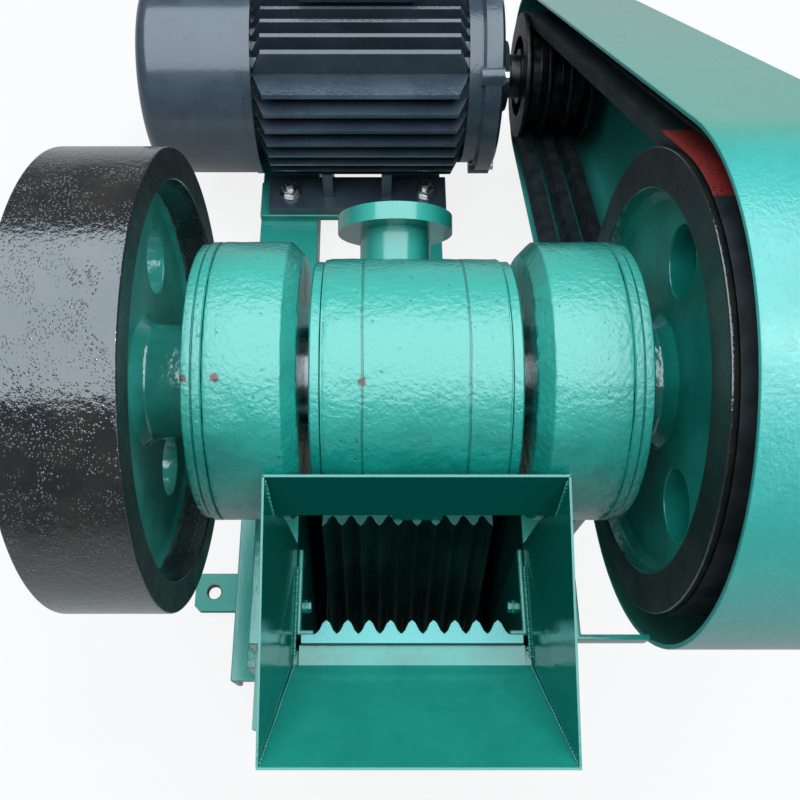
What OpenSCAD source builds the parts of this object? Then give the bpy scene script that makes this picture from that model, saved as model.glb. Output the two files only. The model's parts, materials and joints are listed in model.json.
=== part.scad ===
// Laboratory jaw crusher: a small cast crusher with its motor behind it on one welded base.
// X runs along the eccentric shaft towards the belts, Y runs back to the motor, Z is up.
// The origin is on the floor, under the middle of the eccentric shaft.

/* [Layout] */
// Height of the eccentric shaft above the floor
shaft_h = 370; // [340:5:400]
// Distance of the motor axis behind the eccentric shaft
motor_y = 436; // [420:2:470]
// Height of the motor axis above its feet
motor_h = 100; // [98:1:104]

/* [Base] */
// Height of the base rails
rail_h = 40; // [36:1:46]
// Width of the base rails
rail_w = 60; // [50:1:60]
// Wall thickness of the base rails
rail_t = 5; // [4:0.5:7]
// Outer half width of the base
base_half = 140; // [136:1:146]
// Front end of the base rails, measured from the shaft
base_front = 120; // [116:1:126]
// Length of the base behind the motor axis
base_tail = 134; // [126:2:170]
// Radius of the anchor holes
anchor_r = 6; // [5:0.5:7]

/* [Frame] */
// Inner half width of the crushing chamber
chamber_half = 61; // [60:0.5:63]
// Thickness of the frame side walls
wall_t = 24; // [18:1:26]
// Thickness of the cast flanges and ribs on the side walls
rib_t = 15; // [10:1:18]
// Reach of the flanges beyond the side walls
flange_reach = 16; // [10:1:18]
// Drop from the shaft to the top of the chamber
chamber_drop = 44; // [42:1:50]
// Radius of the bearing housings
housing_r = 73; // [71:0.5:74]
// Length of one bearing housing without its cap
housing_len = 42; // [38:1:44]

/* [Drive] */
// Radius of the flywheel
wheel_r = 120; // [112:1:124]
// Width of the flywheel rim
wheel_w = 54; // [46:1:70]
// Clearance between the bearing caps and the wheels
wheel_gap = 13; // [12:0.5:17]
// Radius of the holes through the wheel webs
web_hole_r = 18; // [15:0.5:19]
// Distance of those holes from the shaft
web_hole_out = 69; // [66:0.5:72]
// Top width of one V-belt
belt_w = 17; // [14:0.5:20]
// Height of one V-belt
belt_h = 11; // [9:0.5:13]
// Radius of the motor pulley
small_r = 57; // [54:1:62]
// Throw of the eccentric
throw = 4; // [2.5:0.25:4.5]
// Radius of the shaft in its bearings
shaft_r = 22.5; // [20:0.5:24]

/* [Jaws] */
// Radius of the swing jaw head
head_r = 66; // [62:0.5:67]
// Half width of the jaws
jaw_half = 50; // [46:0.5:50]
// Number of teeth across a jaw
teeth = 9; // [7:1:11]
// Height of the teeth
tooth_h = 7.5; // [5:0.5:8]
// Angle of the swing jaw from upright
nip = 18; // [16:0.5:19]
// Width of the discharge gap at rest
outlet = 9.5; // [9.5:0.5:14]

/* [Hopper] */
// Half width of the hopper mouth
mouth_half = 70; // [66:1:74]
// Thickness of the sheet metal
sheet_t = 2.5; // [1.5:0.25:3]

/* [Motor] */
// Radius over the motor's fins
motor_r = 93; // [90:1:98]
// Length of the finned motor body
stator_len = 195; // [170:5:200]
// Length of the fan cover
cover_len = 103; // [80:1:110]

/* [Hidden] */
$fn = 96;
fit = 0.05;          // radial running clearance
gap = 0.3;           // clearance between separate bodies that only look closed

paint = "seagreen";
dark_paint = "darkslategray";
steel = "silver";

head_z = shaft_h - throw;                  // axis of the eccentric at rest
chamber_z = shaft_h - chamber_drop;        // top of the chamber
jaw_bottom = shaft_h - 235;                // lower end of both jaw plates
front_in = 130;                            // chamber side of the front wall
front_out = 150;
wall_front = front_in - 0.3;               // front edge of the side walls
brow_out = 170;                            // front edge of the front wall's top flange
brow_z = shaft_h - 66;                     // top of that flange
cheek_t = 3;                               // thickness of the cheek plates
cheek_in = chamber_half - 0.2 - cheek_t;   // inner face of the cheek plates
jaw_back = 5;                              // thickness of the fixed jaw plate behind its teeth
swing_back = 6.5;                          // and of the swing jaw's plate
plate_len = 165;
jaw_tip_y = outlet - front_in + jaw_back + tooth_h;    // lower tip of the swing jaw's teeth
rear_in = 97;                              // chamber side of the rear wall
rear_out = 115;
wall_out = chamber_half + wall_t;
flange_drop = 150;                         // drop from the shaft to the top of the front flanges
housing_in = chamber_half - 6;
housing_out = housing_in + housing_len;
cap_t = 5;                                 // thickness of each cap step
cap_out = housing_out + 2 * cap_t;
wheel_x = cap_out + wheel_gap;             // inner face of each wheel
hub_r = 29;                                // radius of the wheels' hubs
base_rear = motor_y + base_tail;
right_end = 150;                           // rear end of the right rail
motor_rail_x = 50;                         // right side of the rail under the motor
seat_t = 8;                                // thickness of the two bars under the motor
wheel_bore = shaft_r - 2.5;
cam_r = 30;                                // radius of the shaft's eccentric
ring_w = 5.5;                              // width of the rings at the ends of the jaw's head
rod_z = shaft_h - 262;                     // pull rod under the toggle
rod_r = 4;
spring_start = rear_out + throw + 3.5;     // front end of the spring, on its 3 mm washer
spring_len = 46;
belts = 3;
land = 3;                                  // metal left between two grooves
groove_pitch = belt_w + land;
lip = 3.5;                                 // flange beside the first and the last groove
pulley_w = belts * groove_pitch - land + 2 * lip;
proud = 1;                                 // height of the belts' top over the pulleys
belt_flank = 0.34;                         // lean of the belts' sides
drive = shaft_h - rail_h - seat_t - motor_h;    // drop from the shaft to the motor axis
span = sqrt(motor_y * motor_y + drive * drive);
belt_slope = -atan2(drive, motor_y);
motor_z = shaft_h - drive;
big_r = wheel_r + proud;                   // radius of the belts' top on the driven pulley
toggle_tilt = 20;                          // slope of the toggle and its screw
seat_y = -40;                              // toggle seat on the swing jaw
seat_z = shaft_h - 174;
travel = 2;                                // the toggle block's slide either way
plate_start = throw * (1 + sin(toggle_tilt)) + travel + 1.5;
plate_end = 72;
boss_start = 148;                          // boss of the screw on the rear wall, along the toggle's axis
boss_end = boss_start + 26;
nut_start = boss_end + 0.5;                // hub of the adjusting wheel
screw_r = 10;
screw_x = -5;                              // the adjusting screw stands this far off the middle
door_half = 12;                            // half width of the rear wall's doorway for the pull rod
stator_x = -130;                           // fan end of the finned body
motor_core = motor_r - 20;                 // root of the motor's fins
motor_shaft_r = 14;
side_fins = [8, 15];                       // number and pitch of the fins in each side quadrant
top_fins = [9, 12.5];                      // and in the top one
foot_x = -38;                              // middle of the motor feet
foot_pitch = 140;
foot_span = 142;

// A bar given by its low corner and its high corner
module bar(low, high) {
    translate(low) cube(high - low);
}

// A cylinder along X from x0 to x1
module rod_x(r, x0, x1) {
    translate([x0, 0, 0]) rotate([0, 90, 0]) cylinder(r = r, h = x1 - x0);
}

// A closed outline in the Y-Z plane, extruded along X from x0 to x1
module side_plate(points, x0, x1) {
    translate([x0, 0, 0]) rotate([90, 0, 90]) linear_extrude(x1 - x0) polygon(points);
}

// The toggle's own axes: X across, Z up along the screw from the jaw's seat
module on_toggle_line() {
    translate([0, seat_y, seat_z]) rotate([toggle_tilt - 90, 0, 0]) children();
}

// An inverted channel with its length along Y
module rail(x0, x1, y0, y1) {
    difference() {
        bar([x0, y0, 0], [x1, y1, rail_h]);
        bar([x0 + rail_t, y0 - 1, -1], [x1 - rail_t, y1 + 1, rail_h - rail_t]);
    }
}

// A solid bar across the base, resting on the floor
module cross_member(x0, x1, y0, y1) {
    bar([x0, y0, 0], [x1, y1, rail_h]);
}

module left_rail() {
    color(paint) rail(-base_half, rail_w - base_half, -base_front, base_rear);
}

module right_rail() {
    color(paint) rail(base_half - rail_w, base_half, -base_front, right_end);
}

module motor_rail() {
    color(paint) rail(motor_rail_x - rail_w, motor_rail_x, right_end, base_rear);
}

module front_cross_member() {
    color(paint) cross_member(rail_w - base_half, base_half - rail_w, -base_front, 40 - base_front);
}

module centre_cross_member() {
    color(paint) cross_member(rail_w - base_half, base_half - rail_w, -25, 35);
}

module rear_cross_member() {
    color(paint) cross_member(rail_w - base_half, base_half - rail_w, right_end - 40, right_end);
}

module motor_seat() {
    color(paint)
    for (y = [-1, 1] * foot_span / 2)
        bar([-base_half, motor_y + y - 22, rail_h], [motor_rail_x + 2, motor_y + y + 22, rail_h + seat_t]);
}

// Each anchor hole stands this far out from its rail
anchor_out = 25;
anchor_spots = [
    [-base_half - anchor_out, -40], [base_half + anchor_out, 60],
    [-base_half - anchor_out, motor_y + 34], [motor_rail_x + anchor_out, motor_y + 34]
];

// Flat lugs with cut corners, welded to the rails' sides
module anchor_lugs() {
    lug_t = 8;
    lug_half = 17;
    color(paint)
    for (spot = anchor_spots) {
        inward = spot[0] < 0 ? 1 : -1;
        translate([spot[0], spot[1], 0])
        difference() {
            linear_extrude(lug_t)
                polygon([
                    [inward * anchor_out, -lug_half], [inward * anchor_out, lug_half],
                    [inward * (5 - lug_half), lug_half], [-inward * lug_half, lug_half - 5],
                    [-inward * lug_half, 5 - lug_half], [inward * (5 - lug_half), -lug_half]
                ]);
            translate([0, 0, -1]) cylinder(r = anchor_r, h = lug_t + 2);
        }
    }
}

// One cast side wall with its flanges, standing on the rails
module side_wall(x0, x1) {
    low = rail_h;
    reach = x1 > 0 ? [x1, x1 + flange_reach] : [x0 - flange_reach, x0];
    difference() {
        union() {
            side_plate([
                [-wall_front, low], [-wall_front, chamber_z], [-40, chamber_z], [-40, shaft_h - 10],
                [40, shaft_h - 10], [66, shaft_h - 44], [rear_out, shaft_h - 116], [rear_out, low]
            ], x0, x1);
            bar([reach[0], -wall_front, low], [reach[1], rib_t - wall_front, shaft_h - flange_drop]);
            bar([reach[0], rear_out - rib_t, low], [reach[1], rear_out, shaft_h - 130]);
            translate([0, rib_t / 2, 0]) rotate([90, 0, 0]) linear_extrude(rib_t)
                polygon([
                    [x1 > 0 ? x1 - 1 : x0 + 1, low], [x1 > 0 ? x1 + flange_reach : x0 - flange_reach, low],
                    [x1 > 0 ? x1 + flange_reach / 2 : x0 - flange_reach / 2, shaft_h - 60],
                    [x1 > 0 ? x1 - 1 : x0 + 1, shaft_h - 60]
                ]);
            bar([reach[0], -wall_front, low], [reach[1], rear_out, low + 12]);
        }
        translate([0, 0, shaft_h]) rod_x(housing_r, x0 - 40, x1 + 40);
    }
}

module left_side_wall() {
    color(paint) side_wall(-wall_out, -chamber_half);
}

module right_side_wall() {
    color(paint) side_wall(chamber_half, wall_out);
}

// The wall behind the fixed jaw, a slot short of the side walls, its brow with three ribs below it
module front_wall() {
    slot = 2.5;
    color(paint)
    union() {
        bar([slot - chamber_half, -front_out, jaw_bottom - 8], [chamber_half - slot, -front_in, chamber_z]);
        bar([1.5 - wall_out, -brow_out, brow_z - 18], [wall_out - 1.5, -front_in, brow_z]);
        for (x = [-52, 0, 52])
            side_plate([
                [-front_in - 5, brow_z - 9], [-brow_out + 6, brow_z - 9], [-brow_out + 6, brow_z - 30],
                [-front_out - 4, jaw_bottom + 6], [-front_in - 5, jaw_bottom + 6]
            ], x - 6, x + 6);
    }
}

module rear_wall() {
    color(paint)
    difference() {
        union() {
            bar([-chamber_half, rear_in, rail_h], [chamber_half, rear_out, shaft_h - 116]);
            on_toggle_line() translate([screw_x, 0, boss_start]) cylinder(r = 30, h = boss_end - boss_start);
        }
        on_toggle_line() translate([screw_x, 0, boss_start - 18]) cylinder(r = screw_r + 2, h = 60);
        // the pull rod rises and falls with the jaw by twice the throw
        bar([-door_half, rear_in - 1, rail_h - 1], [door_half, rear_out + 1, rod_z + 2 * throw + 9]);
    }
}

module discharge_chute() {
    color(paint)
    side_plate([
        [jaw_tip_y + 11, rail_h + 56], [jaw_tip_y + 13, rail_h + 60],
        [-front_in - 60, rail_h + 3], [-front_in - 58, rail_h - 1]
    ], gap - chamber_half, chamber_half - gap);
}

// A bearing housing bored for the shaft, bevelled towards the jaw
module bearing_housing(side) {
    translate([0, 0, shaft_h])
    rotate([0, side * 90, 0])
    rotate_extrude()
    polygon([
        [shaft_r + fit, housing_in], [housing_r - 7, housing_in], [housing_r, housing_in + 7],
        [housing_r, housing_out], [shaft_r + fit, housing_out]
    ]);
}

module left_bearing_housing() {
    color(paint) bearing_housing(-1);
}

module right_bearing_housing() {
    color(paint) bearing_housing(1);
}

// A cap of two steps, the outer one smaller
module bearing_cap(side) {
    translate([0, 0, shaft_h])
    rotate([0, side * 90, 0])
    translate([0, 0, housing_out])
    difference() {
        union() {
            cylinder(r = housing_r, h = cap_t);
            cylinder(r = housing_r - 1, h = 2 * cap_t);
        }
        translate([0, 0, -1]) cylinder(r = shaft_r + fit, h = 2 * cap_t + 2);
    }
}

module left_bearing_cap() {
    color(paint) bearing_cap(-1);
}

module right_bearing_cap() {
    color(paint) bearing_cap(1);
}

module eccentric_shaft() {
    color(steel)
    union() {
        translate([0, 0, shaft_h]) rod_x(shaft_r, -cap_out - 5, cap_out + 5);
        translate([0, 0, shaft_h]) rod_x(wheel_bore, -wheel_x - wheel_w - 6, wheel_x + pulley_w + 8);
        translate([0, 0, head_z]) rod_x(cam_r, -jaw_half, jaw_half);
    }
}

// Half profile of a wheel: radius against distance out from its inner face
module wheel_blank(width, web_start, web_end, rim_in) {
    rotate_extrude()
    polygon([
        [wheel_bore, -8], [hub_r, -8], [hub_r + 2, web_start - 6], [hub_r + 7, web_start],
        [rim_in - 4, web_start],
        [rim_in, web_start - 3], [rim_in + 1, 0], [wheel_r, 0], [wheel_r, width], [rim_in + 1, width],
        [rim_in, web_end + 3], [rim_in - 4, web_end], [hub_r + 7, web_end], [hub_r + 2, web_end + 6],
        [hub_r, width],
        [wheel_bore, width]
    ]);
}

// Three holes through a web, the first one turned by first
module web_holes(width, first) {
    for (turn = [0:120:240])
        rotate([0, 0, turn + first])
        translate([web_hole_out, 0, -1]) cylinder(r = web_hole_r, h = width + 2);
}

module flywheel() {
    color(dark_paint)
    translate([-wheel_x, 0, shaft_h])
    rotate([0, -90, 0])
    difference() {
        wheel_blank(wheel_w, 20, 34, wheel_r - 17);
        web_holes(wheel_w, 80);
    }
}

// One V-groove, open outwards, cut into a pulley of radius r; z0 is the belt's near edge
module groove(r, z0) {
    top = r + proud;
    foot = belt_h + 3;
    rotate_extrude()
    polygon([
        [top, z0 + belt_w + gap], [top - foot, z0 + belt_w + gap - belt_flank * foot],
        [top - foot, z0 - gap + belt_flank * foot], [top, z0 - gap]
    ]);
}

module drive_pulley() {
    color(dark_paint)
    translate([wheel_x, 0, shaft_h])
    rotate([0, 90, 0])
    difference() {
        wheel_blank(pulley_w, 10, 24, wheel_r - 21);
        web_holes(pulley_w, 148);
        for (i = [0:belts - 1]) groove(wheel_r, lip + i * groove_pitch);
    }
}

module motor_pulley() {
    color(dark_paint)
    translate([wheel_x, motor_y, motor_z])
    rotate([0, 90, 0])
    difference() {
        union() {
            cylinder(r = small_r, h = pulley_w);
            translate([0, 0, -9]) cylinder(r = 20, h = 10);
        }
        translate([0, 0, -10]) cylinder(r = motor_shaft_r, h = pulley_w + 12);
        for (i = [0:belts - 1]) groove(small_r, lip + i * groove_pitch);
        for (z = [-1, pulley_w - 9])
            translate([0, 0, z])
            difference() {
                cylinder(r = 37, h = 10);
                translate([0, 0, -1]) cylinder(r = 25, h = 12);
            }
    }
}

// Section of a belt: [distance from the loop's outer line, width direction]
module belt_section() {
    polygon([
        [0, 0], [0, belt_w], [-belt_h, belt_w - belt_flank * belt_h], [-belt_h, belt_flank * belt_h]
    ]);
}

// A closed band around both pulleys; its section, the child, has X = 0 on the outer line
module band(big, small) {
    lean = asin((big - small) / span);
    run = span * cos(lean);
    union() {
        rotate([0, 0, 90 - lean])
            rotate_extrude(angle = 180 + 2 * lean) translate([big, 0]) children();
        translate([span, 0, 0]) rotate([0, 0, lean - 90])
            rotate_extrude(angle = 180 - 2 * lean) translate([small, 0]) children();
        rotate([0, 0, 90 - lean]) translate([big, 0, 0])
            rotate([90, 0, 0]) linear_extrude(run) children();
        translate([span, 0, 0]) rotate([0, 0, lean - 90]) translate([small, 0, 0])
            rotate([90, 0, 0]) linear_extrude(run) children();
    }
}

// The plane of the belts: X along the centre line to the motor, Z along the shafts, from x
module on_belt_line(x) {
    translate([x, 0, shaft_h]) rotate([belt_slope, 0, 0]) rotate([90, 0, 90]) children();
}

// One closed V-belt in groove i
module belt(i) {
    color("black")
    on_belt_line(wheel_x + lip + i * groove_pitch)
    band(big_r, small_r + proud) belt_section();
}

module inner_belt() {
    belt(0);
}

module middle_belt() {
    belt(1);
}

module outer_belt() {
    belt(2);
}

// Teeth in a row across the jaw, as an outline: X across, Y the tooth height
function tooth_line(count, half, shift) = [
    for (i = [0:count * 6])
        let (x = -half + i * 2 * half / (count * 6))
        [x, tooth_h * (0.5 - 0.5 * cos(360 * (i / 6 + shift)))]
];

// A jaw plate whose teeth rise from Y = 0, its length along Z, with a flat margin on either side
module toothed_plate(back, length, shift, half) {
    foot = tooth_line(teeth, jaw_half, shift)[0][1];
    linear_extrude(length)
    polygon(concat(
        [[-half, -back], [-half, foot]], tooth_line(teeth, jaw_half, shift), [[half, foot], [half, -back]]
    ));
}

module fixed_jaw_plate() {
    color(steel)
    translate([0, jaw_back - front_in, jaw_bottom])
    toothed_plate(jaw_back, chamber_z + 4 - jaw_bottom, 0, cheek_in - gap);
}

// The swing jaw's own axes: X across, Z up the plate, -Y towards the fixed jaw, from the lower tip
module on_jaw_face() {
    translate([0, jaw_tip_y, jaw_bottom]) rotate([-nip, 0, 0]) children();
}

module swing_jaw_plate() {
    color(steel)
    on_jaw_face() translate([0, tooth_h, 0]) rotate([0, 0, 180])
        toothed_plate(swing_back, plate_len, 0.5, jaw_half + 0.5);
}

module swing_jaw() {
    face = tooth_h + swing_back;
    color(paint)
    difference() {
        union() {
            translate([0, 0, head_z]) rod_x(head_r, ring_w - jaw_half, jaw_half - ring_w);
            on_jaw_face() bar([-jaw_half, face, -4], [jaw_half, face + 26, plate_len + 5]);
            for (x = [1 - jaw_half, -8, jaw_half - 17])
                side_plate([
                    [-70, shaft_h - 200], [-34, shaft_h - 70], [-40, shaft_h - 50], [48, shaft_h - 48],
                    [10, shaft_h - 122], [-44, shaft_h - 158], [-50, shaft_h - 222]
                ], x, x + 16);
            on_toggle_line() bar([3 - jaw_half, -12, -22], [jaw_half - 3, 12, 0]);
            bar([-9, -84, rod_z - 12], [9, -66, jaw_bottom + 10]);
        }
        translate([0, 0, head_z]) {
            rod_x(cam_r + fit, -jaw_half - 1, jaw_half + 1);
            rod_x(head_r, -jaw_half - 1, ring_w - jaw_half);
            rod_x(head_r, jaw_half - ring_w, jaw_half + 1);
        }
        on_toggle_line() translate([0, 0, 6]) rod_x(9, -jaw_half - 1, jaw_half + 1);
    }
}

module jaw_head_rings() {
    color(paint)
    for (side = [-1, 1])
        translate([0, 0, head_z]) rotate([0, side * 90, 0]) translate([0, 0, jaw_half - ring_w])
        difference() {
            cylinder(r = head_r - 1, h = ring_w);
            translate([0, 0, -1]) cylinder(r = cam_r + fit, h = ring_w + 2);
        }
}

module jaw_wedge() {
    color(paint)
    on_jaw_face() bar([-9, 3, plate_len + 0.2], [21, tooth_h + swing_back, plate_len + 7]);
}

// A bent sheet that lines the chamber, its lip over the margin of the fixed jaw plate
module cheek_plate(side) {
    outer = chamber_half - 0.2;
    back = -housing_r - 6;
    lip_in = jaw_back - front_in;
    mirror([side < 0 ? 1 : 0, 0, 0]) {
        side_plate([
            [lip_in, jaw_bottom], [lip_in, chamber_z - 1], [back, chamber_z - 1], [back - 30, jaw_bottom]
        ], cheek_in, outer);
        bar([jaw_half + 1, lip_in, jaw_bottom], [cheek_in, lip_in + cheek_t, chamber_z - 1]);
    }
}

module left_cheek_plate() {
    color(steel) cheek_plate(-1);
}

module right_cheek_plate() {
    color(steel) cheek_plate(1);
}

mouth_front = [-front_in - 58.5, shaft_h + 6];
mouth_rear = [6.5 - housing_r, shaft_h + 38];
foot_rear = -housing_r - 4;                // rear foot of the side sheets
back_foot = [foot_rear, shaft_h + 12];     // lower edge of the back sheet, over the jaw head's front
foot_front = -front_in - 10;               // inner foot of the front sheet

// A flat or slightly twisted sheet: corners go round its inner face, out is its thickness vector
module sheet(corners, out) {
    polyhedron(
        points = concat(corners, [for (c = corners) c + out]),
        faces = [
            [0, 1, 2], [0, 2, 3], [6, 5, 4], [7, 6, 4],
            [1, 0, 4, 5], [2, 1, 5, 6], [3, 2, 6, 7], [0, 3, 7, 4]
        ]
    );
}

module hopper() {
    side_out = max(mouth_half, chamber_half) + 2 * sheet_t;
    color(paint)
    difference() {
        union() {
            // front
            sheet([
                [-chamber_half - 1, foot_front, chamber_z], [chamber_half + 1, foot_front, chamber_z],
                [mouth_half + 1, mouth_front[0], mouth_front[1]],
                [-mouth_half - 1, mouth_front[0], mouth_front[1]]
            ], [0, -sheet_t, 0]);
            // back
            sheet([
                [mouth_half - 2, back_foot[0], back_foot[1]], [2 - mouth_half, back_foot[0], back_foot[1]],
                [-mouth_half, mouth_rear[0], mouth_rear[1]], [mouth_half, mouth_rear[0], mouth_rear[1]]
            ], [0, sheet_t, 0.6]);
            for (side = [0, 1])
                mirror([side, 0, 0])
                sheet([
                    [chamber_half, foot_rear, chamber_z], [mouth_half, mouth_rear[0], mouth_rear[1]],
                    [mouth_half, mouth_front[0], mouth_front[1]], [chamber_half, foot_front, chamber_z]
                ], [sheet_t, 0, 0]);
        }
        translate([0, 0, shaft_h]) rod_x(housing_r + gap, -side_out, side_out);
    }
}

module toggle_block() {
    color(steel)
    union() {
        on_toggle_line() bar([-54, -14, plate_end], [54, 14, plate_end + 28]);
        on_toggle_line() translate([screw_x, 0, plate_end + 20]) cylinder(r = screw_r, h = 122);
    }
}

module toggle_plate() {
    color(steel)
    on_toggle_line() bar([-45, -5, plate_start], [45, 5, plate_end]);
}

module adjusting_wheel() {
    color(paint)
    on_toggle_line()
    difference() {
        union() {
            translate([screw_x, 0, nut_start]) cylinder(r = 25, h = 46);
            translate([screw_x, 0, nut_start + 42.5]) cylinder(r = 41, h = 12);
        }
        translate([screw_x, 0, nut_start - 4.5]) cylinder(r = screw_r + fit, h = 50);
    }
}

// A cylinder along Y from y0 to y1, on the pull rod's axis
module rod_y(r, y0, y1) {
    translate([0, y0, rod_z]) rotate([-90, 0, 0]) cylinder(r = r, h = y1 - y0);
}

module tension_rod() {
    spring_end = spring_start + spring_len;
    color(steel)
    union() {
        rod_y(rod_r, -66, spring_end + 12);
        rod_y(16, spring_end, spring_end + 4);
        rod_y(9, -66, -54);
    }
}

// The coil as a tube, on the washer that closes the hole in the rear wall
module tension_spring() {
    color(steel)
    difference() {
        union() {
            rod_y(14.5, spring_start - 1, spring_start + spring_len);
            rod_y(20, spring_start - 3, spring_start);
        }
        rod_y(10.5, spring_start, spring_start + spring_len + 1);
        rod_y(rod_r, spring_start - 4, spring_start + 1);
    }
}

module motor_shaft() {
    color(steel)
    translate([0, motor_y, motor_z])
    rod_x(motor_shaft_r, stator_x + stator_len + 19, wheel_x + pulley_w + 2);
}

// Cross-section of the finned motor body: fins stand sideways or upright by quadrant
module motor_section() {
    circle(r = motor_core);
    intersection() {
        circle(r = motor_r);
        for (turn = [0, 90, 180]) {
            row = turn == 90 ? top_fins : side_fins;
            rotate(turn)
            for (i = [0:row[0] - 1]) {
                offset = (i - (row[0] - 1) / 2) * row[1];
                translate([sqrt(motor_core * motor_core - offset * offset) - 6, offset - 1.5])
                square([motor_r, 3]);
            }
        }
    }
}

// The fins' ends are cut back towards their tips
module motor_body() {
    slant = 10;
    color("slategray")
    translate([stator_x, motor_y, motor_z])
    intersection() {
        rotate([90, 0, 90]) linear_extrude(stator_len) motor_section();
        rotate([0, 90, 0])
        rotate_extrude()
        polygon([
            [0, 0], [motor_core + 2, 0], [motor_r + 1, slant], [motor_r + 1, stator_len - slant],
            [motor_core + 2, stator_len], [0, stator_len]
        ]);
    }
}

// A drawn cover with a bead at its mouth, a round shoulder, and slots in its end for the air
module fan_cover() {
    cover_r = motor_r - 2;
    shoulder = 14;
    color("slategray")
    translate([stator_x, motor_y, motor_z])
    rotate([0, -90, 0])
    difference() {
        union() {
            cylinder(r = cover_r + 1, h = 7);
            cylinder(r = cover_r, h = cover_len - shoulder);
            cylinder(r = cover_r - shoulder, h = cover_len);
            translate([0, 0, cover_len - shoulder])
                rotate_extrude() translate([cover_r - shoulder, 0]) circle(shoulder);
        }
        for (ring = [[22, 16, 12], [46, 22, 24]])
            for (i = [1:ring[2]])
                rotate(360 * i / ring[2])
                translate([ring[0], -2, cover_len - 3]) cube([ring[1], 4, 4]);
    }
}

// A turned end shield with four ears, through which long bolts reach the finned body
module drive_end_shield() {
    bore = motor_shaft_r + fit;
    color("slategray")
    translate([stator_x + stator_len, motor_y, motor_z])
    rotate([0, 90, 0])
    union() {
        rotate_extrude()
        polygon([
            [bore, 0], [motor_r - 12, 0], [motor_r - 12, 12], [motor_r - 4, 14], [motor_r - 4, 28],
            [motor_r - 10, 31], [36, 35], [32, 43], [bore, 43]
        ]);
        for (turn = [45:90:315])
            rotate(turn) translate([motor_r - 9, 0, 10]) cylinder(r = 8.5, h = 20);
    }
}

module motor_feet() {
    low = rail_h + seat_t;
    fin_low = motor_z - (side_fins[0] - 1) / 2 * side_fins[1] - 1.5;
    color("slategray")
    for (side = [-1, 1])
        translate([0, motor_y + side * foot_span / 2, 0])
        difference() {
            union() {
                bar([foot_x - foot_pitch / 2 - 22, -20, low], [foot_x + foot_pitch / 2 + 22, 20, low + 11]);
                for (x = [foot_x - 30, foot_x + 30])
                    bar([x - 5, side > 0 ? -28 : -6, low], [x + 5, side > 0 ? 6 : 28, fin_low]);
            }
            translate([0, -side * foot_span / 2, motor_z]) rod_x(motor_core, -200, 200);
            for (x = [-1, 1] * foot_pitch / 2)
                translate([foot_x + x, 0, low - 1]) cylinder(r = 6, h = 14);
        }
}

// A box with a lid and a blank gland, on the fins behind the top of the motor
module terminal_box() {
    top = motor_z + motor_r + 46;
    color("slategray")
    difference() {
        union() {
            bar([-87, motor_y - 7, motor_z + motor_r / 2], [17, motor_y + 83, top - 12]);
            bar([-90, motor_y - 10, top - 10], [20, motor_y + 86, top]);
            bar([-85, motor_y - 5, top - 13], [15, motor_y + 81, top - 9]);
            translate([0, motor_y + 50, top - 34]) rod_x(11, 16, 30);
        }
        translate([0, motor_y, motor_z]) rod_x(motor_r + gap, -91, 31);
    }
}

// Points along an arc of radius r about [x, 0], from angle a0 to a1
function arc(x, r, a0, a1) = [
    for (i = [0:24]) [x + r * cos(a0 + (a1 - a0) * i / 24), r * sin(a0 + (a1 - a0) * i / 24)]
];

// The outline around both pulleys at the radii big and small
module loop_outline(big, small) {
    lean = asin((big - small) / span);
    polygon(concat(arc(0, big, 90 - lean, 270 + lean), arc(span, small, lean - 90, 90 - lean)));
}

guard_x0 = wheel_x + 4;                    // open side of the guard
guard_x1 = guard_x0 + pulley_w + 19;
guard_big = big_r + 16;                    // radius of the guard round the driven pulley
guard_small = small_r + proud + 18;
strap_drop = 50;                           // drop from the shaft to the middle of the guard's strap
strap_y = -sqrt(guard_big * guard_big - strap_drop * strap_drop);

module belt_guard() {
    depth = guard_x1 - guard_x0;
    color(paint)
    on_belt_line(guard_x0)
    union() {
        band(guard_big, guard_small) polygon([[0, 0], [0, depth], [-sheet_t, depth], [-sheet_t, 0]]);
        translate([0, 0, depth - sheet_t]) linear_extrude(sheet_t)
            loop_outline(guard_big - sheet_t / 2, guard_small - sheet_t / 2);
    }
}

// A thin strap in front of the pulley, bent back along the side wall, and an upright behind it
module guard_stays() {
    low = shaft_h - strap_drop - 6;
    color(paint)
    union() {
        bar([wall_out, strap_y, low], [guard_x0, strap_y + 3, low + 12]);
        bar([wall_out, min(strap_y, 4 - wall_front), low], [wall_out + 3, 34 - wall_front, low + 12]);
    }
    color(paint)
    difference() {
        bar([base_half - 8, -15, rail_h], [base_half, 15, shaft_h - 100]);
        on_belt_line(0) linear_extrude(guard_x1) loop_outline(guard_big, guard_small);
    }
}

left_rail();
right_rail();
motor_rail();
front_cross_member();
centre_cross_member();
rear_cross_member();
motor_seat();
anchor_lugs();
left_side_wall();
right_side_wall();
front_wall();
rear_wall();
discharge_chute();
left_bearing_housing();
right_bearing_housing();
left_bearing_cap();
right_bearing_cap();
eccentric_shaft();
flywheel();
drive_pulley();
swing_jaw();
jaw_head_rings();
swing_jaw_plate();
jaw_wedge();
fixed_jaw_plate();
left_cheek_plate();
right_cheek_plate();
hopper();
toggle_block();
toggle_plate();
adjusting_wheel();
tension_rod();
tension_spring();
inner_belt();
middle_belt();
outer_belt();
motor_pulley();
motor_shaft();
motor_body();
fan_cover();
drive_end_shield();
motor_feet();
terminal_box();
belt_guard();
guard_stays();
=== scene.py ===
import json
import math

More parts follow.
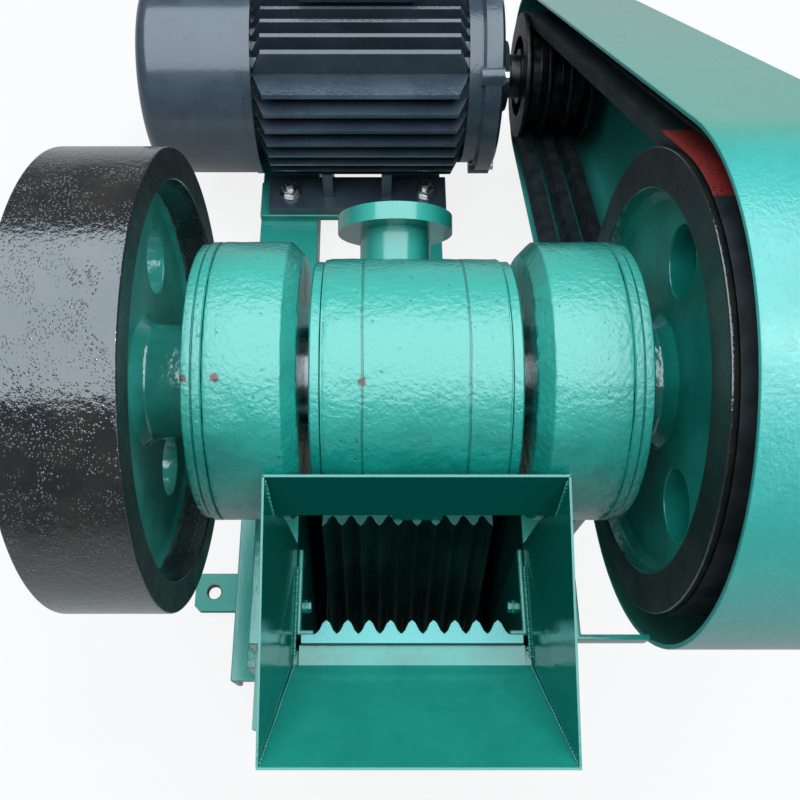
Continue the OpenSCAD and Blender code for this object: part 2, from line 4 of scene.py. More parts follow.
import bpy
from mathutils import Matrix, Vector

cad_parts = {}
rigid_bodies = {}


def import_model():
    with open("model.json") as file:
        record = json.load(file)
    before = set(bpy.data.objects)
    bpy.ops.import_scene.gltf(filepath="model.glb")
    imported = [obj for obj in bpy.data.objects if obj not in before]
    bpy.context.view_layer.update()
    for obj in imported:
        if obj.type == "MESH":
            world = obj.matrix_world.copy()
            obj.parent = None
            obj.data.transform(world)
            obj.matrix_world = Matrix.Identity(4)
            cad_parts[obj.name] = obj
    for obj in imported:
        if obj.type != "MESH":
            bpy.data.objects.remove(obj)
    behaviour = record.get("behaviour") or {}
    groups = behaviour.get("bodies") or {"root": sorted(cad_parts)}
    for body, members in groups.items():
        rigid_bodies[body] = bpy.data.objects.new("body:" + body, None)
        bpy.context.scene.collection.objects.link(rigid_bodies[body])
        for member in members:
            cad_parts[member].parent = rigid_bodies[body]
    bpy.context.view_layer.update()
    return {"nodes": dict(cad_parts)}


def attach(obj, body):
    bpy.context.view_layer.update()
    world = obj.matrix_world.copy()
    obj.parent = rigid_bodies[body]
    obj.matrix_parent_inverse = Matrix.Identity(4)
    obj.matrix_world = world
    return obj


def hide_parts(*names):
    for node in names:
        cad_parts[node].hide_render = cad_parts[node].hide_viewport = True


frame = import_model()
nodes = frame["nodes"]
bpy.ops.object.select_all(action="DESELECT")

# Base rails: three inverted channels of bent steel plate, welded with their cross members to one
# frame. It is sprayed after welding, so the enamel runs over the welds and the corners alike.


def open_finish(name, slot=""):
    """A new finish, for one of the record's slots where given.

    Returns it with its nodes, shader and Object coordinates."""
    finish = bpy.data.materials.new(name)
    finish.use_nodes = True
    finish["slot"] = slot
    tree = finish.node_tree
    tree.nodes.clear()
    output = tree.nodes.new("ShaderNodeOutputMaterial")
    shader = tree.nodes.new("ShaderNodeBsdfPrincipled")
    tree.links.new(shader.outputs["BSDF"], output.inputs["Surface"])
    place = tree.nodes.new("ShaderNodeTexCoord").outputs["Object"]
    return finish, tree, shader, place


def lumps(tree, place, size, detail=3.0, roughness=0.5):
    """Noise whose lumps are about size metres across."""
    noise = tree.nodes.new("ShaderNodeTexNoise")
    noise.inputs["Scale"].default_value = 1.0 / size
    noise.inputs["Detail"].default_value = detail
    noise.inputs["Roughness"].default_value = roughness
    tree.links.new(place, noise.inputs["Vector"])
    return noise.outputs["Fac"]


def reckon(tree, kind, first, second=None, clamp=False):
    """One Math node of that kind; each operand is a number or another node's output."""
    node = tree.nodes.new("ShaderNodeMath")
    node.operation = kind
    node.use_clamp = clamp
    for socket, operand in zip(node.inputs, (first, second)):
        if isinstance(operand, (int, float)):
            socket.default_value = operand
        elif operand is not None:
            tree.links.new(operand, socket)
    return node.outputs[0]


def spread(tree, value, low, high, to_low=0.0, to_high=1.0):
    """Maps low..high to to_low..to_high, smoothly and no further."""
    node = tree.nodes.new("ShaderNodeMapRange")
    node.interpolation_type = "SMOOTHSTEP"
    ends = {"From Min": low, "From Max": high, "To Min": to_low, "To Max": to_high}
    for socket, number in ends.items():
        node.inputs[socket].default_value = number
    tree.links.new(value, node.inputs["Value"])
    return node.outputs["Result"]


def tint(tree, share, below, above):
    """Mixes two colours, or outputs that carry a colour, by share."""
    node = tree.nodes.new("ShaderNodeMix")
    node.data_type = "RGBA"
    tree.links.new(share, node.inputs["Factor"])
    for socket, colour in ((node.inputs[6], below), (node.inputs[7], above)):
        if isinstance(colour, tuple):
            socket.default_value = (*colour, 1.0)
        else:
            tree.links.new(colour, socket)
    return node.outputs[2]


def facing(tree, axis, start, full, most=1.0):
    """How far a face looks along an axis: 0 where its normal has start there, most at full."""
    place = next(n for n in tree.nodes if n.type == "TEX_COORD")
    apart = tree.nodes.new("ShaderNodeSeparateXYZ")
    tree.links.new(place.outputs["Normal"], apart.inputs[0])
    if start < full:
        return spread(tree, apart.outputs[axis], start, full, 0.0, most)
    return spread(tree, apart.outputs[axis], full, start, most, 0.0)


def raised(tree, height, depth, over=None):
    """A bump of depth metres, over the normal of another bump."""
    node = tree.nodes.new("ShaderNodeBump")
    node.inputs["Distance"].default_value = depth
    tree.links.new(height, node.inputs["Height"])
    if over is not None:
        tree.links.new(over, node.inputs["Normal"])
    return node.outputs["Normal"]


TEAL = (0.010, 0.340, 0.275)
DEEP_TEAL = (0.005, 0.235, 0.190)
LIT_TOP_TEAL = (0.070, 0.500, 0.410)
PIT_SHADE_TEAL = (0.003, 0.100, 0.080)
COAT_GLOSS = 0.07
COAT_INDEX = 1.6
SHINE = 0.6
COAT = 0.8


def enamel(name, slot="green_enamel", light=TEAL, dark=DEEP_TEAL, grit=0.003, depth=0.0001,
           skin=0.0012, skin_depth=0.00003, gloss=0.14, dust=0.16, pits=False, coat=COAT, top=None):
    """Sprayed gloss enamel over a ground with lumps of grit metres; dust dulls it in patches.

    Faces that look up are paler, by the given colour: painted light from the panel overhead."""
    finish, tree, shader, place = open_finish(name, slot)
    patches = lumps(tree, place, 0.045, detail=6.0, roughness=0.6)
    streaks = lumps(tree, place, 0.006, detail=3.0)
    shade = reckon(tree, "ADD", reckon(tree, "MULTIPLY", patches, 0.75),
                   reckon(tree, "MULTIPLY", streaks, 0.25))
    colour = tint(tree, spread(tree, shade, 0.38, 0.62), dark, light)
    # Painted light: faces that look up take a paler colour.
    if top:
        colour = tint(tree, facing(tree, "Z", 0.50, 0.95, 0.85), colour, top)
    ground = raised(tree, lumps(tree, place, grit, detail=4.0, roughness=0.55), depth)
    # Painted shade: pits are sunk by a bump and darkened in their hollows.
    if pits:
        pit = spread(tree, lumps(tree, place, 0.0030, detail=2.5), 0.29, 0.25)
        colour = tint(tree, reckon(tree, "MULTIPLY", pit, 0.45), colour, PIT_SHADE_TEAL)
        ground = raised(tree, pit, -0.0003, over=ground)
    tree.links.new(colour, shader.inputs["Base Color"])
    surface = raised(tree, lumps(tree, place, skin, detail=1.5), skin_depth, over=ground)
    tree.links.new(surface, shader.inputs["Normal"])
    tree.links.new(surface, shader.inputs["Coat Normal"])
    dulled = spread(tree, patches, 0.35, 0.75, gloss, gloss + dust)
    tree.links.new(dulled, shader.inputs["Roughness"])
    shader.inputs["Coat Weight"].default_value = coat
    shader.inputs["Coat Roughness"].default_value = COAT_GLOSS
    shader.inputs["Coat IOR"].default_value = COAT_INDEX
    shader.inputs["Specular IOR Level"].default_value = SHINE
    return finish


def into_edit(chosen="SELECT"):
    """Edit mode with everything selected, or nothing."""
    bpy.ops.object.mode_set(mode="EDIT")
    bpy.ops.mesh.select_all(action=chosen)


def pick_corners(piece, wanted):
    """Edit mode with only those corner points selected whose place is wanted."""
    into_edit("DESELECT")
    bpy.ops.mesh.select_mode(type="VERT")
    bpy.ops.object.mode_set(mode="OBJECT")
    for corner in piece.data.vertices:
        corner.select = wanted(*corner.co)
    bpy.ops.object.mode_set(mode="EDIT")


def pick_piece(piece):
    """That piece alone selected and active."""
    bpy.ops.object.select_all(action="DESELECT")
    piece.select_set(True)
    bpy.context.view_layer.objects.active = piece


def settle(piece, name, finish, body, *stands_for):
    """Names a shaped piece, sets its place in its mesh, and gives it its finish and its body."""
    pick_piece(piece)
    bpy.ops.object.transform_apply(location=True, rotation=True, scale=True)
    piece.name = name
    piece.data.name = name
    piece.data.materials.clear()
    piece.data.materials.append(finish)
    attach(piece, body)
    if stands_for:
        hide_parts(*stands_for)
    piece.select_set(False)
    return piece


def alter(piece, kind, **settings):
    """Adds a modifier to a piece and applies it."""
    bpy.context.view_layer.objects.active = piece
    change = piece.modifiers.new(kind.lower(), kind)
    for setting, value in settings.items():
        setattr(change, setting, value)
    bpy.ops.object.modifier_apply(modifier=change.name)


SHARP_CORNER = 28.0
SMOOTH_UP_TO = 40.0


def ease(piece, width, steps=2, sharp=SHARP_CORNER):
    """Rounds a piece's corners and smooths its round faces."""
    if width:
        alter(piece, "BEVEL", width=width, segments=steps, limit_method="ANGLE",
              angle_limit=math.radians(sharp), harden_normals=False)
    pick_piece(piece)
    bpy.ops.object.shade_smooth_by_angle(angle=math.radians(SMOOTH_UP_TO))
    alter(piece, "WEIGHTED_NORMAL", keep_sharp=True)


MIDDLE = (0.0, 0.0, 0.0)


def copy_of(node):
    """The CAD node as one closed skin with no needless edges, ready to be shaped.

    It is merged a thousand times as large, because the smallest merging distance is too coarse."""
    pick_piece(nodes[node])
    bpy.ops.object.duplicate()
    piece = bpy.context.object
    bpy.ops.object.parent_clear(type="CLEAR_KEEP_TRANSFORM")
    into_edit()
    bpy.ops.transform.resize(value=(1000.0, 1000.0, 1000.0), center_override=MIDDLE)
    bpy.ops.mesh.remove_doubles(threshold=0.0001)
    bpy.ops.transform.resize(value=(0.001, 0.001, 0.001), center_override=MIDDLE)
    bpy.ops.mesh.dissolve_limited(angle_limit=math.radians(0.6))
    bpy.ops.object.mode_set(mode="OBJECT")
    return piece


def made_from(node, finish, body, corner, steps=2):
    """A piece shaped as its CAD node, with its corners rounded by corner metres."""
    piece = copy_of(node)
    ease(piece, corner, steps)
    return settle(piece, node + "_painted", finish, body, node)


PLATE_CORNER = 0.0012
# The rails' up-facing faces are painted paler, as light from above.
rail_paint = enamel("rail_enamel", grit=0.0025, depth=0.00005, top=(0.035, 0.40, 0.33))
for node in ("left_rail", "right_rail", "motor_rail", "front_cross_member", "centre_cross_member",
             "rear_cross_member", "motor_seat"):
    made_from(node, rail_paint, "base", PLATE_CORNER)

# Anchor lugs: flat bars welded to the rails, each with a hole for a floor bolt. Their enamel is
# worn dull, and a ring of rust shows where the bolt heads have rubbed round the front holes.
RUST = (0.11, 0.035, 0.032)
LUG_HOLES = [(-0.165, -0.0395, 0.0080), (0.165, -0.0395, 0.0080)]
LUG_HOLE_R = 0.0068


def opened(finish):
    """A finish made earlier: its nodes, shader, Object coordinates and colour so far."""
    tree = finish.node_tree
    shader = next(n for n in tree.nodes if n.type == "BSDF_PRINCIPLED")
    place = next(n for n in tree.nodes if n.type == "TEX_COORD").outputs["Object"]
    return tree, shader, place, shader.inputs["Base Color"].links[0].from_socket


def red_dots(finish, spots, radius):
    """Small red-brown dabs of paint or rust at the given places."""
    tree, shader, place, under = opened(finish)
    edge = reckon(tree, "MULTIPLY", lumps(tree, place, 0.002), 0.003)
    near = None
    for spot in spots:
        gap = tree.nodes.new("ShaderNodeVectorMath")
        gap.operation = "DISTANCE"
        gap.inputs[1].default_value = spot
        tree.links.new(place, gap.inputs[0])
        ragged = reckon(tree, "ADD", gap.outputs["Value"], edge)
        near = ragged if near is None else reckon(tree, "MINIMUM", near, ragged)
    dab = spread(tree, near, radius + 0.0022, radius + 0.0012)
    tree.links.new(tint(tree, dab, under, RUST), shader.inputs["Base Color"])


# The lugs' up-facing faces are painted paler, as light from above.
lug_paint = enamel("lug_enamel", grit=0.0025, depth=0.0001, gloss=0.45, dust=0.3, coat=0.1,
                   top=(0.060, 0.420, 0.340))
red_dots(lug_paint, LUG_HOLES, LUG_HOLE_R)
made_from("anchor_lugs", lug_paint, "base", PLATE_CORNER)

# Frame walls: two grey iron castings with flanges and a rib each, tied by a front wall and a rear
# wall of plate. The castings' sand skin shows through the enamel. Their inner faces are painted
# dark as shade, and their enamel is dull there. The middle rib stands a little back from the
# flange's edge.
# The castings' up-facing faces are painted paler, as light from above.
SAND_SKIN = {"grit": 0.0045, "depth": 0.0005, "skin": 0.0014, "skin_depth": 0.00006,
             "top": LIT_TOP_TEAL}
SHADED_TEAL = (0.002, 0.060, 0.050)
cast_paint = enamel("cast_enamel", **SAND_SKIN)
wall_paint = enamel("wall_enamel", **SAND_SKIN)
tree, shader, place, outside_colour = opened(wall_paint)
apart = tree.nodes.new("ShaderNodeSeparateXYZ")
tree.links.new(place, apart.inputs[0])
# Painted shade: faces that look inwards, towards the jaws, take a dark teal and lose their gloss.
to_right = reckon(tree, "SUBTRACT", facing(tree, "X", 0.6, 0.9), facing(tree, "X", -0.6, -0.9))
inside = spread(tree, reckon(tree, "MULTIPLY", apart.outputs["X"], to_right), -0.04, -0.06)
tree.links.new(tint(tree, inside, outside_colour, SHADED_TEAL), shader.inputs["Base Color"])
for socket, most in (("Coat Weight", COAT), ("Specular IOR Level", SHINE)):
    tree.links.new(reckon(tree, "SUBTRACT", most, reckon(tree, "MULTIPLY", inside, most)),
                   shader.inputs[socket])
RIB_FACE = (0.1004, 0.1008)
RIB_HALF = 0.010
RIB_SET_BACK = 0.0030
for side, node in ((-1, "left_side_wall"), (1, "right_side_wall")):
    wall = copy_of(node)
    pick_corners(wall, lambda x, y, z: RIB_FACE[0] < abs(x) < RIB_FACE[1] and abs(y) < RIB_HALF)
    bpy.ops.transform.translate(value=(side * -RIB_SET_BACK, 0.0, 0.0))
    bpy.ops.object.mode_set(mode="OBJECT")
    ease(wall, 0.0010)
    settle(wall, node + "_painted", wall_paint, "base", node)
plate_paint = enamel("plate_enamel", grit=0.003, depth=0.00008)
for node in ("front_wall", "rear_wall"):
    made_from(node, plate_paint, "base", PLATE_CORNER)

# Discharge chute: one flat steel sheet, welded at a slope between the walls under the jaws and
# painted with them. Its foot is cut a little short of the base's front.
CHUTE_SCALE = 0.974
CHUTE_MIDDLE = (0.0, -0.095, 0.060)
chute = copy_of("discharge_chute")
into_edit()
bpy.ops.transform.resize(value=(1.0, CHUTE_SCALE, 1.0), center_override=CHUTE_MIDDLE)
bpy.ops.object.mode_set(mode="OBJECT")
ease(chute, PLATE_CORNER)
settle(chute, "discharge_chute_painted", plate_paint, "base", "discharge_chute")

# Bearing housings: cast drums on the side walls, bevelled towards the jaw, with a groove where
# the cover's flange sits. Each is closed by a turned cover in two steps, all painted over.
SHAFT_Z = 0.370
HOUSING_IN = 0.055
HOUSING_OUT = 0.097
HOUSING_R = 0.0730
BORE_R = 0.0226
DRUM_PARTS = 200
TURNED_CORNER = 50.0


def turned(start, profile, axis_z):
    """Turns a shape about a line along X at height axis_z: a ring at start, then one at each place.

    Places are (x, radius)."""
    x, radius = start
    bpy.ops.object.select_all(action="DESELECT")
    bpy.ops.mesh.primitive_circle_add(vertices=DRUM_PARTS, radius=radius, location=(x, 0.0, axis_z),
                                      rotation=(0.0, math.pi / 2, 0.0))
    piece = bpy.context.object
    bpy.ops.object.transform_apply(location=True, rotation=True, scale=True)
    into_edit()
    for next_x, next_radius in profile:
        bpy.ops.mesh.extrude_region_move(TRANSFORM_OT_translate={"value": (next_x - x, 0.0, 0.0)})
        grow = next_radius / radius
        if abs(grow - 1.0) > 1e-6:
            bpy.ops.transform.resize(value=(1.0, grow, grow), center_override=(next_x, 0.0, axis_z))
        x, radius = next_x, next_radius
    bpy.ops.mesh.select_all(action="SELECT")
    bpy.ops.mesh.remove_doubles(threshold=0.000005)
    bpy.ops.mesh.normals_make_consistent(inside=False)
    bpy.ops.object.mode_set(mode="OBJECT")
    return piece


def along(x0, x1, radius, step):
    """Rings a step apart from x0 to x1, so that a drum has cells to roughen."""
    count = max(1, round(abs(x1 - x0) / step))
    return [(x0 + (x1 - x0) * i / count, radius) for i in range(1, count + 1)]


def roughen(piece, size, height):
    """Pushes a close mesh in and out like a sand casting, by height metres over lumps of size."""
    sand = bpy.data.textures.new("sand_" + piece.name, "CLOUDS")
    sand.noise_scale = size
    sand.noise_depth = 2
    alter(piece, "DISPLACE", texture=sand, strength=height, mid_level=0.5, texture_coords="LOCAL")


# The drums' up-facing faces are painted paler, as light from above.
drum_paint = enamel("drum_enamel", grit=0.0028, depth=0.0007, skin=0.0012, skin_depth=0.00010,
                    pits=True, top=LIT_TOP_TEAL)
BARREL_DAB = (-0.0251, -0.0268, 0.4263)
DAB_R = 0.0018
red_dots(drum_paint, [(-0.0909, -0.0297, 0.4367), (-0.1050, -0.0290, 0.4345), BARREL_DAB], DAB_R)
for side, node in ((-1, "left_bearing_housing"), (1, "right_bearing_housing")):
    drum = turned(
        (side * HOUSING_IN, BORE_R),
        [(side * HOUSING_IN, 0.045), (side * HOUSING_IN, 0.0658)]
        + [(side * (HOUSING_IN + 0.0008), 0.0668), (side * (HOUSING_IN + 0.0064), 0.0724)]
        + [(side * (HOUSING_IN + 0.0072), 0.0729), (side * (HOUSING_IN + 0.0082), HOUSING_R)]
        + along(side * (HOUSING_IN + 0.0082), side * (HOUSING_OUT - 0.0005), HOUSING_R, 0.0022)
        + [(side * HOUSING_OUT, 0.0722), (side * HOUSING_OUT, BORE_R), (side * HOUSING_IN, BORE_R)],
        SHAFT_Z)
    roughen(drum, 0.016, 0.0009)
    roughen(drum, 0.006, 0.0004)
    ease(drum, 0.0004, 1, TURNED_CORNER)
    settle(drum, node + "_cast", drum_paint, "base", node)
for side, node in ((-1, "left_bearing_cap"), (1, "right_bearing_cap")):
    cover = turned(
        (side * (HOUSING_OUT + 0.0002), BORE_R),
        [(side * (HOUSING_OUT + 0.0002), 0.0724)]
        + [(side * (HOUSING_OUT + 0.0008), HOUSING_R), (side * (HOUSING_OUT + 0.0040), HOUSING_R)]
        + [(side * (HOUSING_OUT + 0.0047), 0.0723), (side * (HOUSING_OUT + 0.0051), 0.0708)]
        + [(side * (HOUSING_OUT + 0.0055), 0.0719), (side * (HOUSING_OUT + 0.0092), 0.0719)]
        + [(side * (HOUSING_OUT + 0.0099), 0.0708)]
        + [(side * (HOUSING_OUT + 0.0100), 0.0640), (side * (HOUSING_OUT + 0.0100), 0.0300)]
        + [(side * (HOUSING_OUT + 0.0090), 0.0295), (side * (HOUSING_OUT + 0.0090), BORE_R)]
        + [(side * (HOUSING_OUT + 0.0002), BORE_R)],
        SHAFT_Z)
    roughen(cover, 0.012, 0.0004)
    ease(cover, 0.0003, 1, TURNED_CORNER)
    settle(cover, node + "_turned", drum_paint, "base", node)

# Eccentric shaft: one steel forging, turned, that runs through both housings and carries the
# two wheels on its ends. It is oiled and bare, and bright where it shows.


def bare_metal(name, slot, light, dark, gloss, grit=0.0006, depth=0.00001):
    """Bare metal, darker in clouds, with fine marks grit metres apart."""
    finish, tree, shader, place = open_finish(name, slot)
    clouds = spread(tree, lumps(tree, place, 0.012, detail=6.0), 0.35, 0.7)
    tree.links.new(tint(tree, clouds, dark, light), shader.inputs["Base Color"])
    shader.inputs["Metallic"].default_value = 1.0
    tree.links.new(spread(tree, lumps(tree, place, 0.006), 0.3, 0.7, gloss, gloss + 0.15),
                   shader.inputs["Roughness"])
    marks = raised(tree, lumps(tree, place, grit, detail=2.0), depth)
    tree.links.new(marks, shader.inputs["Normal"])
    return finish


steel = bare_metal("turned_steel", "machined_steel", (0.56, 0.56, 0.57), (0.36, 0.36, 0.37), 0.22)
made_from("eccentric_shaft", steel, "drive_shaft", 0.0008)

# Flywheel: a cast iron wheel with a solid web and three round holes. Rim and its two faces are
# sprayed gloss black, thick enough to stand in droplets; web and hub keep the machine's green.
BLACK = (0.011, 0.011, 0.013)
BROWN_BLACK = (0.024, 0.020, 0.016)
PAINTED_GLINT_GREY = (0.42, 0.48, 0.50)
FEW_DROPS = 0.0002
BEADS = ((0.0018, 0.46), (0.0012, 0.40))
DROP_GAP = 0.0024


def wheel_paint(name, edge_r, light, dark, drops):
    """Green web and hub inside edge_r, gloss black outside it, by distance from the shaft.

    The black has dried with drops in it, drops metres high where they stand DROP_GAP apart. Pale
    specks in the drops are painted glints."""
    finish, tree, shader, place = open_finish(name, "black_rim")
    apart = tree.nodes.new("ShaderNodeSeparateXYZ")
    tree.links.new(place, apart.inputs[0])
    up = reckon(tree, "SUBTRACT", apart.outputs["Z"], SHAFT_Z)
    out = reckon(tree, "SQRT", reckon(tree, "ADD", reckon(tree, "MULTIPLY", up, up),
                 reckon(tree, "MULTIPLY", apart.outputs["Y"], apart.outputs["Y"])))
    ragged = reckon(tree, "ADD", out, reckon(tree, "MULTIPLY", lumps(tree, place, 0.008), 0.0016))
    black = spread(tree, ragged, edge_r + 0.0004, edge_r + 0.0012)
    patches = spread(tree, lumps(tree, place, 0.03, detail=6.0), 0.35, 0.65)
    green = tint(tree, patches, dark, light)
    brown = spread(tree, lumps(tree, place, 0.018, detail=5.0), 0.40, 0.62)
    iron = tint(tree, brown, BLACK, BROWN_BLACK)
    relief = raised(tree, lumps(tree, place, 0.0032, detail=3.0), 0.00026)
    for bead_gap, cover in BEADS:
        beads = tree.nodes.new("ShaderNodeTexVoronoi")
        beads.inputs["Scale"].default_value = 1.0 / bead_gap
        tree.links.new(place, beads.inputs["Vector"])
        bead = spread(tree, beads.outputs["Distance"], 0.36, 0.10)
        wet = lumps(tree, place, 0.011 + 2.0 * bead_gap, detail=3.0)
        wet = spread(tree, wet, cover, cover + 0.18)
        bead = reckon(tree, "MULTIPLY", reckon(tree, "MULTIPLY", bead, wet), black)
        # Painted glints: pale specks in the middle of each drop stand in for the lamps'
        # reflections.
        glint = reckon(tree, "MULTIPLY", spread(tree, beads.outputs["Distance"], 0.25, 0.12), wet)
        if drops > FEW_DROPS:
            iron = tint(tree, reckon(tree, "MULTIPLY", glint, 0.28), iron, PAINTED_GLINT_GREY)
        relief = raised(tree, bead, drops * bead_gap / DROP_GAP, over=relief)
    tree.links.new(tint(tree, black, green, iron), shader.inputs["Base Color"])
    tree.links.new(relief, shader.inputs["Normal"])
    tree.links.new(relief, shader.inputs["Coat Normal"])
    sides = reckon(tree, "ADD", facing(tree, "X", 0.6, 0.9), facing(tree, "X", -0.6, -0.9))
    dull = reckon(tree, "MULTIPLY", sides, 0.28)
    gloss = spread(tree, lumps(tree, place, 0.02, detail=5.0), 0.3, 0.7, 0.10, 0.24)
    tree.links.new(reckon(tree, "ADD", gloss, dull), shader.inputs["Roughness"])
    tree.links.new(reckon(tree, "SUBTRACT", 1.0, reckon(tree, "MULTIPLY", sides, 0.88)),
                   shader.inputs["Coat Weight"])
    shader.inputs["Specular Tint"].default_value = (0.75, 0.92, 1.0, 1.0)
    shader.inputs["Coat Roughness"].default_value = 0.04
    shader.inputs["Coat IOR"].default_value = 1.9
    return finish


# The flywheel's web green is painted paler than the pulley's, as light on the open side.
flywheel_paint = wheel_paint("flywheel_enamel", 0.1025, light=(0.060, 0.480, 0.400),
                             dark=(0.035, 0.340, 0.280), drops=0.00034)
made_from("flywheel", flywheel_paint, "drive_shaft", 0.0012, steps=3)

# Driven pulley: the other wheel, its rim turned with three V-grooves and left black, its web the
# flywheel's green, painted darker here as shade inside the guard.
pulley_paint = wheel_paint("pulley_enamel", 0.1000, light=(0.014, 0.320, 0.260),
                           dark=(0.008, 0.220, 0.175), drops=0.0001)
made_from("drive_pulley", pulley_paint, "drive_shaft", 0.0009)

# Swing jaw: an iron casting that hangs on the shaft's eccentric by its barrel, with turned rings
# at both ends of the barrel. Two faint lines round the barrel are left by the core boxes.
HEAD_Z = 0.366
BARREL_HALF = 0.0440
CORE_LINES = (-0.025, 0.025)
LINE_WAVER = 0.0015


def scored(finish, lines, width, depth):
    """Shallow lines round the barrel at the given X, cut into the finish and darkened in the cut as
    painted shade.
    """
    tree, shader, place, colour = opened(finish)
    apart = tree.nodes.new("ShaderNodeSeparateXYZ")
    tree.links.new(place, apart.inputs[0])
    waver = reckon(tree, "ADD", apart.outputs["X"],
                   reckon(tree, "MULTIPLY", lumps(tree, place, 0.03), LINE_WAVER))
    near = None
    for x in lines:
        gap = reckon(tree, "ABSOLUTE", reckon(tree, "SUBTRACT", waver, x + LINE_WAVER / 2.0))
        near = gap if near is None else reckon(tree, "MINIMUM", near, gap)
    cut = spread(tree, near, width * 0.35, width)
    under = shader.inputs["Normal"].links[0].from_socket
    tree.links.new(raised(tree, cut, depth, over=under), shader.inputs["Normal"])
    # Painted shade: the middle of each line is darkened towards a deep teal.
    unshaded_share = spread(tree, near, width * 0.3, width, 0.55, 1.0)
    tree.links.new(tint(tree, unshaded_share, (0.003, 0.07, 0.055), colour), shader.inputs["Base Color"])


# The barrel's up-facing faces are painted paler, as light from above.
barrel_paint = enamel("barrel_enamel", grit=0.0030, depth=0.0007, skin=0.0012, skin_depth=0.00010,
                      pits=True, top=LIT_TOP_TEAL)
red_dots(barrel_paint, [BARREL_DAB], DAB_R)
scored(barrel_paint, CORE_LINES, 0.0007, 0.0005)
made_from("swing_jaw", cast_paint, "swing_jaw", 0.0)
barrel = turned(
    (-BARREL_HALF, 0.0640),
    [(-BARREL_HALF, 0.0660)] + along(-BARREL_HALF, BARREL_HALF, 0.0666, 0.0024)
    + [(BARREL_HALF, 0.0640), (-BARREL_HALF, 0.0640)],
    HEAD_Z)
roughen(barrel, 0.018, 0.0008)
roughen(barrel, 0.006, 0.0004)
ease(barrel, 0.0003, 1, TURNED_CORNER)
settle(barrel, "swing_jaw_barrel", barrel_paint, "swing_jaw")
HEAD_BORE_R = 0.0301
for side, label in ((-1, "left"), (1, "right")):
    ring = turned(
        (side * 0.0447, HEAD_BORE_R),
        [(side * 0.0447, 0.0640), (side * 0.0452, 0.0650), (side * 0.0492, 0.0651)]
        + [(side * 0.0500, 0.0643), (side * 0.0500, HEAD_BORE_R), (side * 0.0447, HEAD_BORE_R)],
        HEAD_Z)
    roughen(ring, 0.012, 0.0003)
    ease(ring, 0.0003, 1, TURNED_CORNER)
    settle(ring, "jaw_head_ring_" + label, barrel_paint, "swing_jaw", "jaw_head_rings")

# Jaw plates: manganese iron castings with upright teeth, sprayed over with the machine. Their
# enamel is painted near black as shade in the deep jaw gap, their up-facing faces pale as a painted
# highlight. The wedge above the swing plate is a small green iron key.
# Painted shade: the plates' enamel is near black, for the shade in the deep jaw gap.
jaw_paint = enamel("jaw_enamel", "jaw_iron", (0.004, 0.060, 0.052), (0.002, 0.026, 0.024),
                   grit=0.003, depth=0.0005, gloss=0.45, coat=0.15)


def faces_lit_or_shaded(finish, axis, start, full, colour):
    """Painted light or shade: another colour on the faces that look along an axis."""
    tree, shader, place, under = opened(finish)
    share = facing(tree, axis, start, full)
    tree.links.new(tint(tree, share, under, colour), shader.inputs["Base Color"])


# Painted highlight: the plates' up-facing faces take a pale teal.
faces_lit_or_shaded(jaw_paint, "Z", 0.55, 0.85, (0.150, 0.560, 0.530))
made_from("fixed_jaw_plate", jaw_paint, "base", 0.0005, steps=1)
made_from("swing_jaw_plate", jaw_paint, "swing_jaw", 0.0005, steps=1)
made_from("jaw_wedge", plate_paint, "swing_jaw", 0.001)

# Cheek plates and hopper: sheet steel, bent and welded at the corners and painted on both sides.
# Faces that look sideways or forward are painted darker as shade. The hopper's rim is ground
# thinner at its outer edge.
sheet_paint = enamel("sheet_enamel", "green_sheet", (0.016, 0.290, 0.225), (0.012, 0.255, 0.200),
                     grit=0.0018, depth=0.0001, skin=0.002, skin_depth=0.00003, gloss=0.14,
                     dust=0.12)
# Painted shade: faces that look sideways take a darker teal, and those that look forward a darker
# one still and lose their gloss.
for side in (-1.0, 1.0):
    faces_lit_or_shaded(sheet_paint, "X", side * 0.80, side * 0.95, (0.003, 0.165, 0.130))
faces_lit_or_shaded(sheet_paint, "Y", -0.75, -0.90, (0.0015, 0.080, 0.065))
tree, shader, place, under = opened(sheet_paint)
for socket, most in (("Coat Weight", COAT), ("Specular IOR Level", SHINE)):
    tree.links.new(facing(tree, "Y", -0.90, -0.75, most), shader.inputs[socket])
for node in ("left_cheek_plate", "right_cheek_plate"):
    made_from(node, sheet_paint, "base", PLATE_CORNER, steps=3)
RIM_Y = -0.1885
RIM_Z = 0.376
RIM_SLOPE = 0.2623
RIM_REACH = 0.0012
RIM_SIDE_X = 0.0715
RIM_BACK_Y = -0.0650
RIM_FRONT_Y = -0.1900
RIM_IN = 0.0013


def trim_rim(chosen, shift, width):
    """Moves chosen corners of the sloping rim along Y by shift and scales them in X by width."""
    pick_corners(hopper, lambda x, y, z: (
        abs(z - RIM_Z - (y - RIM_Y) * RIM_SLOPE) < RIM_REACH and chosen(x, y)))
    bpy.ops.transform.resize(value=(width, 1.0, 1.0), center_override=MIDDLE)
    bpy.ops.transform.translate(value=(0.0, shift, shift * RIM_SLOPE))
    bpy.ops.object.mode_set(mode="OBJECT")


hopper = copy_of("hopper")
trim_rim(lambda x, y: abs(x) > RIM_SIDE_X, 0.0, 0.9815)
trim_rim(lambda x, y: y > RIM_BACK_Y, -RIM_IN, 1.0165)
trim_rim(lambda x, y: y < RIM_FRONT_Y, RIM_IN, 1.0)
alter(hopper, "BEVEL", width=0.0004, segments=2, limit_method="ANGLE",
      angle_limit=math.radians(SHARP_CORNER))
pick_piece(hopper)
bpy.ops.object.shade_flat()
settle(hopper, "hopper_painted", sheet_paint, "base", "hopper")


